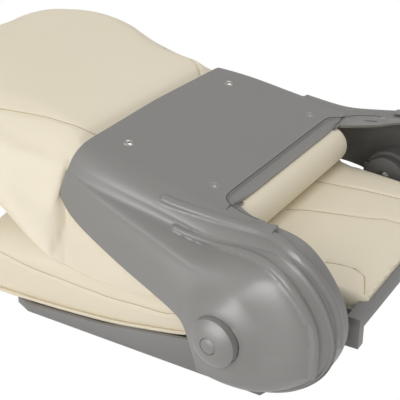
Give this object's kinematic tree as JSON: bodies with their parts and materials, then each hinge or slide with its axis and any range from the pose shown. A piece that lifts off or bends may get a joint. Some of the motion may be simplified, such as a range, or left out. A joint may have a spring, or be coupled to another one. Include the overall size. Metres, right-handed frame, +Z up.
{
  "type": "folding boat seat",
  "caption": "Padded helm seat on a moulded pan whose back, carried by a plastic shell with round side drums, folds flat over the seat cushion.",
  "frame": {"origin": "centre of the mounting pattern on the flat underside of the pan", "axes": "+Z up, -Y towards the front of the seat, X along the hinge axis with +X the side nearest the camera"},
  "size_m": [0.5692, 0.6865, 0.2823],
  "materials": {
    "shell_plastic": "fine texture, satin",
    "pan_plastic": "satin",
    "cream_vinyl": "fine grain vinyl over foam",
    "plywood": "raw",
    "stainless_steel": "plain",
    "bright_steel": "polished",
    "nylon": "natural"
  },
  "bodies": {
    "base": {"seat_pan": "pan_plastic", "seat_board": "plywood", "seat_cushion": "cream_vinyl", "seat_piping": "cream_vinyl", "board_screw_near_front": "stainless_steel", "mount_insert_near_front": "stainless_steel", "board_screw_near_rear": "stainless_steel", "mount_insert_near_rear": "stainless_steel", "hinge_bolt_near": "stainless_steel", "hinge_nut_near": "stainless_steel", "nut_washer_near": "stainless_steel", "thrust_washer_near": "nylon", "board_screw_far_front": "stainless_steel", "mount_insert_far_front": "stainless_steel", "board_screw_far_rear": "stainless_steel", "mount_insert_far_rear": "stainless_steel", "hinge_bolt_far": "stainless_steel", "hinge_nut_far": "stainless_steel", "nut_washer_far": "stainless_steel", "thrust_washer_far": "nylon"},
    "back": {"back_shell": "shell_plastic", "back_board": "plywood", "back_cushion": "cream_vinyl", "cup_washer_near_front": "bright_steel", "cushion_screw_near_front": "bright_steel", "cup_washer_near_rear": "bright_steel", "cushion_screw_near_rear": "bright_steel", "hinge_bushing_near": "nylon", "hinge_cap_near": "shell_plastic", "cap_plug_near": "shell_plastic", "cup_washer_far_front": "bright_steel", "cushion_screw_far_front": "bright_steel", "cup_washer_far_rear": "bright_steel", "cushion_screw_far_rear": "bright_steel", "hinge_bushing_far": "nylon", "hinge_cap_far": "shell_plastic", "cap_plug_far": "shell_plastic"}
  },
  "joints": [
    {"name": "back_fold", "type": "hinge", "parent": "base", "child": "back", "pos_m": [0, 0.125, 0.088], "axis": [-1, 0, 0], "range_deg": [0, 85]}
  ]
}
